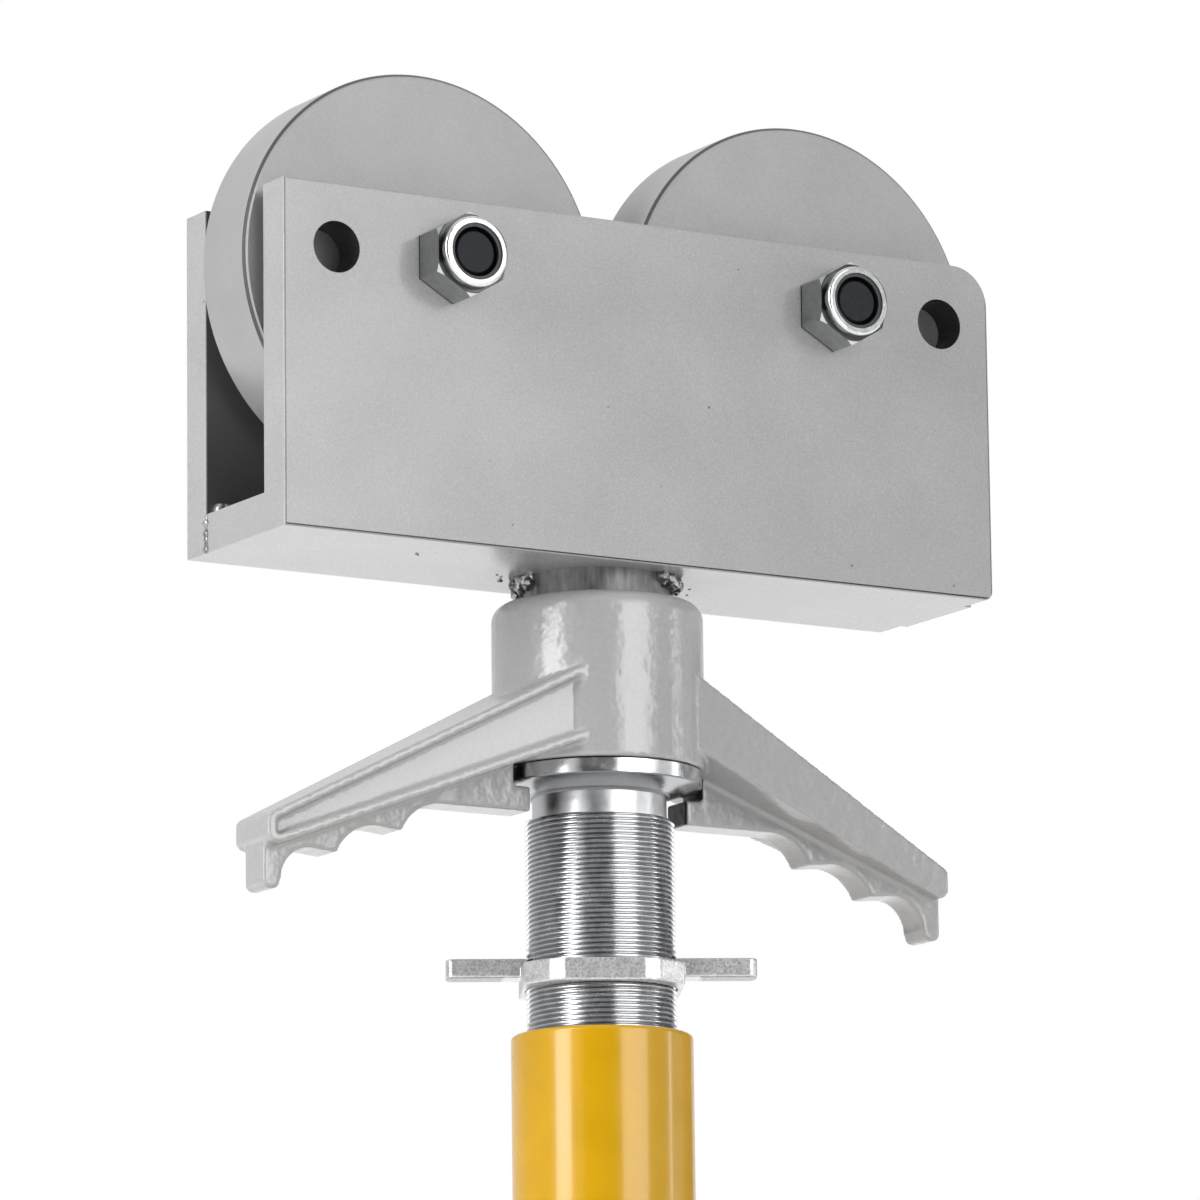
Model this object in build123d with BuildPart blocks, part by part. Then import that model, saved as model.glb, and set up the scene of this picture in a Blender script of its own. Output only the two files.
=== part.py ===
"""Pipe roller support: a two-wheel roller head on a hand-turned screw jack.

A welded steel channel carries two steel wheels on bolts. The channel swivels on a stem
in the top of a cast two-arm handle. The handle turns a hollow screw in the threaded bush
of a yellow post tube, and a two-eared ring locks the screw. Millimetres, +Z up, origin on
the post's axis at its lower end, +X along the roller frame.
"""

import os
from math import atan2, cos, degrees, radians, sin, tan

from build123d import *

os.makedirs("parts", exist_ok=True)

# Clearances
running_gap = 0.05
side_play = 0.3

# Post tube and its threaded bush
tube_diameter = 58.0
tube_bore = 49.0
tube_length = 240.0
tube_rim_radius = 1.5
socket_bore = 50.0
socket_depth = 60.0
bush_diameter = 53.0
bush_length = 45.0

# Jack screw
screw_diameter = 48.0
screw_bore = 39.0
screw_in_tube = 130.0
thread_shown = 68.5
relief_diameter = 43.0
relief_height = 8.1
cone_height = 3.0
collar_diameter = 66.0
collar_height = 5.2
spigot_diameter = 44.0
screw_end_chamfer = 1.5

# Cast handle: hub
hub_diameter = 68.0
hub_height = 54.3
hub_top_radius = 5.5
hub_web = 8.0

# Cast handle: arms. Heights are measured from the hub's bottom face, downwards where named drop
arm_reach = 126.5
arm_root = 20.0
arm_root_width = 55.0
arm_tip_width = 21.6
arm_top_root_height = 30.0
arm_tip_top_drop = 24.0
arm_low_root_height = 5.7
arm_tip_low_drop = 34.8
arm_tip_radius = 3.5
recess_depth = 2.4
recess_rim = 3.0
recess_radius = 2.5

# Cast handle: the finger web under each arm
web_thickness = 12.4
web_inner = 29.0
web_drop = 15.4
web_notch_radius = 35.0
web_notch_drop = 9.8
web_tip_inset = 0.9
grip_count = 3
grip_pitch = 23.5
grip_run = 14.5
grip_fall = 9.6
grip_step = 8.7
nub_run = 10.9
nub_fall = 10.4
nub_drop = 46.7
nub_taper = 1.2
nub_width = 5.0
nub_radius = 2.4

# Pin that keeps the hub on the screw
pin_diameter = 6.0
pin_height = 18.0
pin_head_inset = 0.5
pin_stem_gap = 0.8

# Thrust washer under the head
washer_diameter = 52.0
washer_height = 4.0
washer_pocket_gap = 0.3
stem_passage_gap = 0.4

# Swivel stem
neck_diameter = 47.0
neck_height = 8.4
shank_diameter = 34.0
stem_spigot_wall = 4.0
shoulder_below_thread = 12.0
stem_tail = 5.0
ring_groove_diameter = 31.6
ring_height = 1.75
ring_diameter = 37.2
ring_slot = 6.0

# Roller frame
frame_length = 264.0
frame_width = 64.0
frame_height = 111.0
plate_thickness = 13.0
base_thickness = 12.5
plate_corner_radius = 13.0
plate_foot_radius = 3.0
plate_edge_radius = 0.6
weld_leg = 5.0
weld_end_gap = 2.0

# Weld between neck and base plate
stem_weld_leg = 3.2
stem_weld_arc = 70.0
stem_weld_angles = (-66.0, 114.0)

# Wheels, on bushes
wheel_diameter = 130.0
wheel_gap = 5.0
wheel_edge_chamfer = 1.5
wheel_bush_diameter = 22.0
axle_height = 90.5
axle_half_spacing = 71.3

# Axle bolts, nuts and washers
bolt_diameter = 16.0
bolt_head_flats = 24.0
bolt_head_height = 10.0
bolt_end_inset = 1.2
bolt_end_chamfer = 1.5
hex_corner_chamfer = 1.4
bolt_hole = 16.5
flat_washer_diameter = 30.0
flat_washer_height = 3.0
spacer_diameter = 30.0
nut_flats = 24.0
nut_height = 16.0
nut_hex_height = 12.6
nut_collar_diameter = 22.8
nut_collar_radius = 1.0
insert_diameter = 18.4
insert_height = 3.6
insert_inset = 0.6
spare_hole_inset = 19.0
spare_hole = 16.5

# Lock ring on the screw
lock_ring_gap = 14.3
lock_ring_height = 7.3
lock_ring_side_wall = 1.5
lock_ring_face_wall = 3.0
lock_ring_corner = 10.0
lock_ear_raise = 3.9
lock_ear_span = 99.0
lock_ear_height = 6.2
lock_ear_width = 10.0
lock_ear_corner = 2.5
lock_ring_angle = -28.0

# Heights along the post, from the bottom up
tube_top = tube_length
thread_top = tube_top + thread_shown
relief_top = thread_top + relief_height
cone_top = relief_top + cone_height
hub_bottom = cone_top + collar_height
hub_top = hub_bottom + hub_height
deck = hub_top + neck_height
screw_end = tube_top - screw_in_tube
washer_seat = hub_top - washer_height
spigot_top = washer_seat - hub_web
shoulder = thread_top - shoulder_below_thread
stem_end = shoulder - stem_tail
axle_z = deck + axle_height
half_gap = frame_width / 2 - plate_thickness
wheel_width = 2 * (half_gap - wheel_gap)
stem_spigot_diameter = 2 * (half_gap - stem_spigot_wall)
spare_hole_half_spacing = frame_length / 2 - spare_hole_inset
stem_bore = shank_diameter + 2 * running_gap
stem_passage = shank_diameter + 2 * stem_passage_gap
axle_bore = bolt_diameter + 2 * running_gap
plates = {"front": half_gap, "rear": -half_gap}
axles = {"left": -axle_half_spacing, "right": axle_half_spacing}

# Post tube: counterbored at the top for its threaded bush, bored out below for the stand
with BuildPart() as outer_tube:
    with BuildSketch():
        Circle(tube_diameter / 2)
        Circle(tube_bore / 2, mode=Mode.SUBTRACT)
    extrude(amount=tube_length)
    with BuildSketch(Plane.XY.offset(tube_top)):
        Circle(bush_diameter / 2)
    extrude(amount=-bush_length, mode=Mode.SUBTRACT)
    with BuildSketch():
        Circle(socket_bore / 2)
    extrude(amount=socket_depth, mode=Mode.SUBTRACT)
    fillet(outer_tube.edges().filter_by(GeomType.CIRCLE).group_by(Axis.Z)[-1].sort_by(SortBy.RADIUS)[-1],
           radius=tube_rim_radius)
outer_tube.part.label = "outer_tube"
export_step(outer_tube.part, "parts/outer_tube.step")

# Threaded bush fixed in the top of the tube
with BuildPart() as tube_nut:
    with BuildSketch(Plane.XY.offset(tube_top - bush_length)):
        Circle(bush_diameter / 2)
        Circle(screw_diameter / 2 + running_gap, mode=Mode.SUBTRACT)
    extrude(amount=bush_length)
tube_nut.part.label = "tube_nut"
export_step(tube_nut.part, "parts/tube_nut.step")


# Jack screw: turned from tube, with a collar and cone that carry the handle, and a spigot inside it
with BuildPart() as jack_screw:
    with BuildSketch(Plane.XZ):
        with BuildLine():
            Polyline(
                (screw_bore / 2, screw_end),
                (screw_diameter / 2 - screw_end_chamfer, screw_end),
                (screw_diameter / 2, screw_end + screw_end_chamfer),
                (screw_diameter / 2, thread_top),
                (relief_diameter / 2, thread_top),
                (relief_diameter / 2, relief_top),
                (collar_diameter / 2, cone_top),
                (collar_diameter / 2, hub_bottom),
                (spigot_diameter / 2, hub_bottom),
                (spigot_diameter / 2, spigot_top),
                (stem_bore / 2, spigot_top),
                (stem_bore / 2, shoulder),
                (screw_bore / 2, shoulder),
                close=True,
            )
        make_face()
    revolve(axis=Axis.Z)
    with BuildSketch(Plane.XZ):
        with Locations((0, hub_bottom + pin_height)):
            Circle(pin_diameter / 2)
    extrude(amount=-hub_diameter, mode=Mode.SUBTRACT)
jack_screw.part.label = "jack_screw"
export_step(jack_screw.part, "parts/jack_screw.step")

# One arm of the handle, along +X: a beam that narrows to its tip, recessed on one side
arm_run = arm_reach - arm_root
side_angle = atan2((arm_root_width - arm_tip_width) / 2, arm_run)
arm_top_root = hub_bottom + arm_top_root_height
arm_top_tip = hub_bottom - arm_tip_top_drop
arm_low_root = hub_bottom + arm_low_root_height
arm_low_tip = hub_bottom - arm_tip_low_drop
side_length = arm_run / cos(side_angle)

with BuildPart() as handle_arm:
    with BuildSketch(Plane.XY.offset(arm_low_tip)):
        with BuildLine():
            Polyline(
                (arm_root, -arm_root_width / 2),
                (arm_reach, -arm_tip_width / 2),
                (arm_reach, arm_tip_width / 2),
                (arm_root, arm_root_width / 2),
                close=True,
            )
        make_face()
    extrude(amount=arm_top_root - arm_low_tip)
    with BuildSketch(Plane.XZ):
        with BuildLine():
            Polyline(
                (arm_root, arm_low_root),
                (arm_reach, arm_low_tip),
                (arm_reach, arm_top_tip),
                (arm_root, arm_top_root),
                close=True,
            )
        make_face()
        fillet(vertices().group_by(Axis.X)[-1], radius=arm_tip_radius)
    extrude(amount=arm_root_width, both=True, mode=Mode.INTERSECT)

    # The recess follows the beam's edges, a rim inside them, and runs into the hub
    side = Plane(
        origin=(arm_reach, arm_tip_width / 2, 0),
        x_dir=(-cos(side_angle), sin(side_angle), 0),
        z_dir=(sin(side_angle), cos(side_angle), 0),
    )
    top_slope = (arm_top_root - arm_top_tip) / side_length
    low_slope = (arm_low_root - arm_low_tip) / side_length
    with BuildSketch(side):
        with BuildLine():
            Polyline(
                (recess_rim, arm_low_tip + recess_rim * (1 + low_slope)),
                (side_length, arm_low_root + recess_rim),
                (side_length, arm_top_root - recess_rim),
                (recess_rim, arm_top_tip - recess_rim * (1 - top_slope)),
                close=True,
            )
        make_face()
        fillet(vertices().group_by(Axis.X)[-1], radius=recess_radius)
    extrude(amount=-recess_depth, mode=Mode.SUBTRACT)

    # The finger web: its underside steps down in round grips to a nub at the tip
    web_bottom = hub_bottom - web_drop
    web_tip = arm_reach - web_tip_inset
    last_grip = web_tip - nub_width - nub_taper - nub_run
    grip_start = last_grip - (grip_count - 1) * grip_pitch
    with BuildSketch(Plane.XZ):
        with BuildLine():
            end = (web_inner, web_bottom)
            for grip in range(grip_count):
                start = (grip_start + grip * grip_pitch, web_bottom - grip * grip_step)
                run, fall = (grip_run, grip_fall) if grip < grip_count - 1 else (nub_run, nub_fall)
                Line(end, start)
                end = (start[0] + run, start[1] - fall)
                TangentArc(start, end, tangent=(1, 0))
            Polyline(
                end,
                (end[0] + nub_taper, hub_bottom - nub_drop),
                (web_tip, hub_bottom - nub_drop),
                (web_tip, arm_low_tip + recess_rim),
                (web_notch_radius, arm_low_root),
                (web_notch_radius, hub_bottom - web_notch_drop),
                (web_inner, hub_bottom - web_notch_drop),
                (web_inner, web_bottom),
            )
        make_face()
        fillet(vertices().group_by(Axis.Y)[0], radius=nub_radius)
    extrude(amount=web_thickness / 2, both=True)

# Cast handle: the hub, two arms half a turn apart, and the seats inside the hub
with BuildPart() as handle_casting:
    with BuildSketch(Plane.XY.offset(hub_bottom)):
        Circle(hub_diameter / 2)
    extrude(amount=hub_height)
    fillet(handle_casting.edges().group_by(Axis.Z)[-1], radius=hub_top_radius)
    with PolarLocations(0, 2):
        add(handle_arm.part)
    with BuildSketch(Plane.XY.offset(hub_bottom)):
        Circle(spigot_diameter / 2)
    extrude(amount=spigot_top - hub_bottom, mode=Mode.SUBTRACT)
    with BuildSketch(Plane.XY.offset(spigot_top)):
        Circle(stem_passage / 2)
    extrude(amount=hub_height, mode=Mode.SUBTRACT)
    with BuildSketch(Plane.XY.offset(washer_seat)):
        Circle(washer_diameter / 2 + washer_pocket_gap)
    extrude(amount=washer_height, mode=Mode.SUBTRACT)
    with BuildSketch(Plane.XZ):
        with Locations((0, hub_bottom + pin_height)):
            Circle(pin_diameter / 2)
    extrude(amount=-hub_diameter, mode=Mode.SUBTRACT)
handle_casting.part.label = "handle_casting"
export_step(handle_casting.part, "parts/handle_casting.step")

# Cross pin through the rear of the hub into the screw's spigot
with BuildPart() as handle_pin:
    pin_start = shank_diameter / 2 + pin_stem_gap
    with BuildSketch(Plane.XZ.offset(-pin_start)):
        with Locations((0, hub_bottom + pin_height)):
            Circle(pin_diameter / 2)
    extrude(amount=pin_start - hub_diameter / 2 + pin_head_inset)
handle_pin.part.label = "handle_pin"
export_step(handle_pin.part, "parts/handle_pin.step")

# Thrust washer that carries the head on the hub
with BuildPart() as thrust_washer:
    with BuildSketch(Plane.XY.offset(washer_seat)):
        Circle(washer_diameter / 2)
        Circle(stem_passage / 2, mode=Mode.SUBTRACT)
    extrude(amount=washer_height)
thrust_washer.part.label = "thrust_washer"
export_step(thrust_washer.part, "parts/thrust_washer.step")

# Swivel stem: a spigot in the base plate, the neck, and a shank grooved for its ring
ring_top = shoulder - side_play
ring_bottom = ring_top - ring_height
with BuildPart() as swivel_stem:
    with BuildSketch(Plane.XZ):
        with BuildLine():
            Polyline(
                (0, stem_end),
                (shank_diameter / 2, stem_end),
                (shank_diameter / 2, ring_bottom),
                (ring_groove_diameter / 2, ring_bottom),
                (ring_groove_diameter / 2, ring_top),
                (shank_diameter / 2, ring_top),
                (shank_diameter / 2, hub_top),
                (neck_diameter / 2, hub_top),
                (neck_diameter / 2, deck),
                (stem_spigot_diameter / 2, deck),
                (stem_spigot_diameter / 2, deck + base_thickness),
                (0, deck + base_thickness),
                close=True,
            )
        make_face()
    revolve(axis=Axis.Z)
swivel_stem.part.label = "swivel_stem"
export_step(swivel_stem.part, "parts/swivel_stem.step")

# Open snap ring in the stem's groove, under the shoulder inside the screw
with BuildPart() as retaining_ring:
    with BuildSketch(Plane.XY.offset(ring_bottom)):
        Circle(ring_diameter / 2)
        Circle(ring_groove_diameter / 2, mode=Mode.SUBTRACT)
        with Locations((0, ring_diameter / 2)):
            Rectangle(ring_slot, ring_diameter / 2, mode=Mode.SUBTRACT)
    extrude(amount=ring_height)
retaining_ring.part.label = "retaining_ring"
export_step(retaining_ring.part, "parts/retaining_ring.step")

# Side plates: rounded at the top right corner, drilled for the axles and for a wider wheel spacing
for side_name, start in plates.items():
    outward = 1 if start > 0 else -1
    with BuildPart() as side_plate:
        with BuildSketch(Plane.XZ.offset(start)):
            with Locations((0, deck + frame_height / 2)):
                Rectangle(frame_length, frame_height)
            fillet(vertices().group_by(Axis.X)[-1].sort_by(Axis.Y)[-1], radius=plate_corner_radius)
            fillet(vertices().group_by(Axis.Y)[0].sort_by(Axis.X)[-1], radius=plate_foot_radius)
            with Locations(*[(x, axle_z) for x in axles.values()]):
                Circle(bolt_hole / 2, mode=Mode.SUBTRACT)
            with Locations((-spare_hole_half_spacing, axle_z), (spare_hole_half_spacing, axle_z)):
                Circle(spare_hole / 2, mode=Mode.SUBTRACT)
        extrude(amount=outward * plate_thickness)
        outer_face = side_plate.faces().sort_by(Axis.Y)[0 if outward > 0 else -1]
        fillet(outer_face.outer_wire().edges(), radius=plate_edge_radius)
    side_plate.part.label = side_name + "_side_plate"
    export_step(side_plate.part, "parts/" + side_name + "_side_plate.step")

# Base plate between the side plates, bored for the stem's spigot
with BuildPart() as base_plate:
    with BuildSketch(Plane.XY.offset(deck)):
        Rectangle(frame_length, 2 * half_gap)
        Circle(stem_spigot_diameter / 2, mode=Mode.SUBTRACT)
    extrude(amount=base_thickness)
base_plate.part.label = "base_plate"
export_step(base_plate.part, "parts/base_plate.step")

# Fillet welds along both inner corners of the channel
with BuildPart() as frame_welds:
    weld_length = frame_length - 2 * weld_end_gap
    with BuildSketch(Plane.YZ.offset(-weld_length / 2)):
        with BuildLine():
            Polyline(
                (half_gap, deck + base_thickness),
                (half_gap, deck + base_thickness + weld_leg),
                (half_gap - weld_leg, deck + base_thickness),
                close=True,
            )
        make_face()
        mirror(about=Plane.YZ)
    extrude(amount=weld_length)
frame_welds.part.label = "frame_welds"
export_step(frame_welds.part, "parts/frame_welds.step")

# Two weld runs that hold the neck to the base plate, one at each side
with BuildPart() as stem_weld:
    for angle in stem_weld_angles:
        toward = Plane(
            origin=(0, 0, 0),
            x_dir=(cos(radians(angle)), sin(radians(angle)), 0),
            z_dir=(sin(radians(angle)), -cos(radians(angle)), 0),
        )
        with BuildSketch(toward):
            with BuildLine():
                Polyline(
                    (neck_diameter / 2, deck),
                    (neck_diameter / 2 + stem_weld_leg, deck),
                    (neck_diameter / 2, deck - stem_weld_leg),
                    close=True,
                )
            make_face()
        revolve(axis=Axis.Z, revolution_arc=stem_weld_arc)
stem_weld.part.label = "stem_weld"
export_step(stem_weld.part, "parts/stem_weld.step")

# Wheels: plain turned steel discs with chamfered rims, each on a pressed-in bush
for side_name, x in axles.items():
    with BuildPart() as wheel:
        with BuildSketch(Plane.XZ.offset(-wheel_width / 2)):
            with Locations((x, axle_z)):
                Circle(wheel_diameter / 2)
        extrude(amount=wheel_width)
        chamfer(wheel.edges().filter_by(GeomType.CIRCLE), length=wheel_edge_chamfer)
        with BuildSketch(Plane.XZ.offset(-wheel_width / 2)):
            with Locations((x, axle_z)):
                Circle(wheel_bush_diameter / 2)
        extrude(amount=wheel_width, mode=Mode.SUBTRACT)
    wheel.part.label = "wheel_" + side_name
    export_step(wheel.part, "parts/wheel_" + side_name + ".step")

    with BuildPart() as wheel_bush:
        with BuildSketch(Plane.XZ.offset(-wheel_width / 2)):
            with Locations((x, axle_z)):
                Circle(wheel_bush_diameter / 2)
                Circle(axle_bore / 2, mode=Mode.SUBTRACT)
        extrude(amount=wheel_width)
    wheel_bush.part.label = "wheel_bush_" + side_name
    export_step(wheel_bush.part, "parts/wheel_bush_" + side_name + ".step")

# Spacers that centre each wheel between the plates
axle_points = [(x, axle_z) for x in axles.values()]
spacer_height = half_gap - wheel_width / 2 - side_play
with BuildPart() as spacer_washers:
    for start in plates.values():
        with BuildSketch(Plane.XZ.offset(start)):
            with Locations(*axle_points):
                Circle(spacer_diameter / 2)
                Circle(bolt_diameter / 2, mode=Mode.SUBTRACT)
        extrude(amount=-spacer_height if start > 0 else spacer_height)
spacer_washers.part.label = "spacer_washers"
export_step(spacer_washers.part, "parts/spacer_washers.step")

# Axle bolts, headed behind the rear plate
head_face = -(frame_width / 2 + flat_washer_height)
nut_face = frame_width / 2 + nut_height
for side_name, x in axles.items():
    with BuildPart() as axle_bolt:
        with BuildSketch(Plane.XZ.offset(head_face)):
            with Locations((x, axle_z)):
                Circle(bolt_head_flats / 2 / cos(radians(30)))
        extrude(amount=-bolt_head_height)
        chamfer(axle_bolt.edges().group_by(Axis.Y)[-1], length=hex_corner_chamfer)
        with BuildSketch(Plane.XZ.offset(head_face)):
            with Locations((x, axle_z)):
                RegularPolygon(bolt_head_flats / 2, 6, major_radius=False, rotation=90)
        extrude(amount=-bolt_head_height, mode=Mode.INTERSECT)
        with BuildSketch(Plane.XZ.offset(head_face)):
            with Locations((x, axle_z)):
                Circle(bolt_diameter / 2)
        extrude(amount=nut_face - bolt_end_inset - head_face)
        chamfer(axle_bolt.edges().filter_by(GeomType.CIRCLE).sort_by(Axis.Y)[0], length=bolt_end_chamfer)
    axle_bolt.part.label = "axle_bolt_" + side_name
    export_step(axle_bolt.part, "parts/axle_bolt_" + side_name + ".step")

# Flat washers under the bolt heads
with BuildPart() as head_washers:
    with BuildSketch(Plane.XZ.offset(head_face)):
        with Locations(*axle_points):
            Circle(flat_washer_diameter / 2)
            Circle(bolt_diameter / 2, mode=Mode.SUBTRACT)
    extrude(amount=flat_washer_height)
head_washers.part.label = "head_washers"
export_step(head_washers.part, "parts/head_washers.step")

# Self-locking nuts on the front: a hexagon, and a round collar with a pocket for the insert
with BuildPart() as lock_nuts:
    with BuildSketch(Plane.XZ.offset(frame_width / 2)):
        with Locations(*axle_points):
            Circle(nut_flats / 2 / cos(radians(30)))
    extrude(amount=nut_hex_height)
    chamfer(lock_nuts.edges().group_by(Axis.Y)[0], length=hex_corner_chamfer)
    with BuildSketch(Plane.XZ.offset(frame_width / 2)):
        with Locations(*axle_points):
            RegularPolygon(nut_flats / 2, 6, major_radius=False, rotation=90)
    extrude(amount=nut_hex_height, mode=Mode.INTERSECT)
    with BuildSketch(Plane.XZ.offset(frame_width / 2)):
        with Locations(*axle_points):
            Circle(nut_collar_diameter / 2)
    extrude(amount=nut_height)
    fillet(lock_nuts.edges().group_by(Axis.Y)[0], radius=nut_collar_radius)
    with BuildSketch(Plane.XZ.offset(frame_width / 2)):
        with Locations(*axle_points):
            Circle(bolt_diameter / 2)
    extrude(amount=nut_height, mode=Mode.SUBTRACT)
    with BuildSketch(Plane.XZ.offset(nut_face)):
        with Locations(*axle_points):
            Circle(insert_diameter / 2)
    extrude(amount=-(insert_height + insert_inset), mode=Mode.SUBTRACT)
lock_nuts.part.label = "lock_nuts"
export_step(lock_nuts.part, "parts/lock_nuts.step")

# Nylon inserts that grip the bolts' ends
with BuildPart() as nut_inserts:
    with BuildSketch(Plane.XZ.offset(nut_face - insert_inset)):
        with Locations(*axle_points):
            Circle(insert_diameter / 2)
            Circle(bolt_diameter / 2, mode=Mode.SUBTRACT)
    extrude(amount=-insert_height)
nut_inserts.part.label = "nut_inserts"
export_step(nut_inserts.part, "parts/nut_inserts.step")

# Lock ring: a boss with flat faces and cut corners on the thread, and two raised ears
ring_base = tube_top + lock_ring_gap
ear_base = ring_base + lock_ear_raise
ring_bore = screw_diameter / 2 + running_gap
boss_width = 2 * (ring_bore + lock_ring_side_wall)
boss_depth = 2 * (ring_bore + lock_ring_face_wall)
with BuildPart() as lock_ring:
    with BuildSketch(Plane.XY.offset(ring_base)):
        Rectangle(boss_width, boss_depth, rotation=lock_ring_angle)
        chamfer(vertices(), length=lock_ring_corner)
    extrude(amount=lock_ring_height)
    with BuildSketch(Plane.XY.offset(ear_base)):
        Rectangle(lock_ear_span, lock_ear_width, rotation=lock_ring_angle)
        fillet(vertices(), radius=lock_ear_corner)
    extrude(amount=lock_ear_height)
    with BuildSketch(Plane.XY.offset(ring_base)):
        Circle(ring_bore)
    extrude(amount=lock_ear_raise + lock_ear_height, mode=Mode.SUBTRACT)
lock_ring.part.label = "lock_ring"
export_step(lock_ring.part, "parts/lock_ring.step")
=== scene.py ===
import math
from functools import partial

import bpy
from bpy.props import FloatProperty, FloatVectorProperty, IntProperty, PointerProperty
from bpy.types import Operator, Panel, PropertyGroup
from mathutils import Matrix, Vector


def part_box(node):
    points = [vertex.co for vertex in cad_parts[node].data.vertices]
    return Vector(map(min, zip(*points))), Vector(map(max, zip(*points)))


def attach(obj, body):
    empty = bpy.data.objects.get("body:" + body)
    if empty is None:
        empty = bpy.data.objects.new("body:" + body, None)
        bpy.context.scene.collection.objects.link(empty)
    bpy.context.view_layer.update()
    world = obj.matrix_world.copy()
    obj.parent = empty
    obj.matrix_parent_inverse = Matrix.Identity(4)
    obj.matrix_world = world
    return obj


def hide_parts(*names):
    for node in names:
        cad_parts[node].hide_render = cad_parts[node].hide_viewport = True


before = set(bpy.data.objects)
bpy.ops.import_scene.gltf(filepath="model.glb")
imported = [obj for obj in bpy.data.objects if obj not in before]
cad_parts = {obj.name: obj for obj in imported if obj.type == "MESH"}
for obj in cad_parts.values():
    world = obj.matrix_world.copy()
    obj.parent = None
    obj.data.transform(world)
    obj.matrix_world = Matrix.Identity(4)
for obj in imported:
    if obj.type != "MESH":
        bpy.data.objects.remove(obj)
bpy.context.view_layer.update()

bl_info = {
    "name": "Pipe Roller Support",
    "version": (1, 0, 0),
    "blender": (4, 5, 0),
    "location": "View3D > Sidebar > Roller Support",
    "description": "Dresses a pipe roller support: jack screw thread, castings, welds and finishes",
    "category": "Object",
}

# Lowest and highest corners that the pieces and finishes share, read from the frame, in metres
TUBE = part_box("outer_tube")
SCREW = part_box("jack_screw")
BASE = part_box("base_plate")
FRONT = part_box("front_side_plate")
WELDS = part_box("frame_welds")
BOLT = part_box("axle_bolt_left")
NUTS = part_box("lock_nuts")

# Small sizes of turned and sawn parts, in metres: a broken edge, a hair's gap, the screw's lead
# chamfer, and the distance below which two points are one
EDGE = 0.0004
HAIR = 0.0001
LEAD = 0.0008
MERGE = 1e-6

# The thread's section: where its root ends and its crest starts and ends, as shares of the pitch
ROOT_END, CREST_START, CREST_END = 0.12, 0.48, 0.62

# Thin dark lines on edges and seams, painted shade on the plates, wheels and nuts: how far the
# middle is from an edge, and half the width, in metres
PLATE_END_SHADE = 0.00041, 0.00037
PLATE_FOOT_SHADE = 0.00045, 0.00041
WHEEL_RIM_SHADE = 0.00055, 0.00042
CONE_FOOT_LINE = 0.0003, 0.00032
CONE_TOP_LINE = 0.0001, 0.00022
NUT_SEAM_SHADE = 0.0003

# The casting's faces with painted shade beside the collar: how near the axis they are, and how
# far they look inwards, in metres
POCKET_SHADE_REACH = 0.0385
POCKET_SHADE_INWARD = -0.015

# From the post's axis, where the lock ring's boss ends and its ears begin, with painted shade
# underneath them, and half the angle between the cut corners of one of the boss's faces, in
# metres and degrees
BOSS_END, EAR_START = 0.031, 0.033
BOSS_CORNER = 22.5

# The channel's inner beads, in metres: a ripple's size, how deep it sits in the corner, and the
# bare stretch at each end of the run
RIPPLE = (0.0022, 0.0026, 0.0026)
RIPPLE_SINK = 0.0013
RUN_MARGIN = 0.002

# The drops up the rear seam at the channel's ends: how many, how far apart, and their size and
# the first one's height above the base plate's underside, in metres
SEAM_DROPS = 7
SEAM_STEP = 0.0017
SEAM_DROP = (0.0009, 0.0015, 0.0013)
SEAM_FOOT = 0.0012

# The neck's two weld runs, in degrees: where each starts, its first drop from there, and its
# reach. Then the drops in a run, and how far they lie from the neck, in metres
NECK_RUNS = (-66, 114)
NECK_RUN_INSET = 3
NECK_RUN_REACH = 64
NECK_RUN_DROPS = 16
NECK_DROP_GAP = 0.0013

# Drops of weld spatter on the base plate's underside, as x, y and radius in metres
SPATTER = ((-0.0275, 0.0144, 0.0008), (-0.0305, 0.0085, 0.0006), (-0.0290, 0.0120, 0.0005),
           (-0.0335, 0.0060, 0.0005), (-0.0731, -0.0110, 0.0007), (-0.0715, -0.0095, 0.0005),
           (0.0340, -0.0020, 0.0006), (0.0385, 0.0070, 0.0005))

# A pattern's scale is MM divided by the size of its lumps in millimetres. A wave's phase runs
# through WAVE radians in one unit. Most noise lies in the MIDDLE of its range.
MM = 1000.0
WAVE = 20.0
MIDDLE = {"From Min": 0.3, "From Max": 0.7}

# Soft lamps: name, azimuth, distance, height, width, length, watts, and the height they aim at
LAMPS = (("key_softbox", 12, 2.2, 1.35, 1.4, 1.5, 14, 0.36),
         ("side_softbox", -82, 2.0, 1.0, 0.8, 1.7, 33, 0.36),
         ("right_fill", 74, 3.1, 0.5, 1.4, 1.2, 26, 0.32),
         ("overhead_softbox", 160, 0.9, 2.3, 2.2, 2.2, 7, 0.0))

# Reflector cards: name, azimuth, distance, width, height, the height of the middle, and glow
CARDS = (("key_card", 10, 2.1, 1.3, 0.95, 0.68, 5.0),
         ("dark_card_front", -33, 3.2, 2.7, 4.4, 0.5, 0.12),
         ("dim_card_left", -128, 2.8, 2.6, 4.4, 0.5, 0.7),
         ("dim_card_right", 92, 2.8, 3.0, 4.4, 0.5, 0.2))

# The white surroundings: their strength as light, and what reflections see on top of it
SKY_LIGHT = 0.24
SKY_SHINE = 0.6

# The floor's side, and the gap that keeps it clear of the post, in metres
FLOOR_SIDE = 6.0
FLOOR_GAP = 0.0005

# The camera as it was solved: angles in degrees, its distance and aim in metres, with the aim
# measured from the base plate's underside, and its sensor and lens in millimetres
CAMERA_YAW, CAMERA_PITCH, CAMERA_ROLL = 31.32, 11.07, -0.71
CAMERA_DISTANCE = 2.493
CAMERA_AIM = (0.00089, -0.00054, -0.00624)
CAMERA_SENSOR = 36.0
CAMERA_LENS = 232.92


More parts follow.
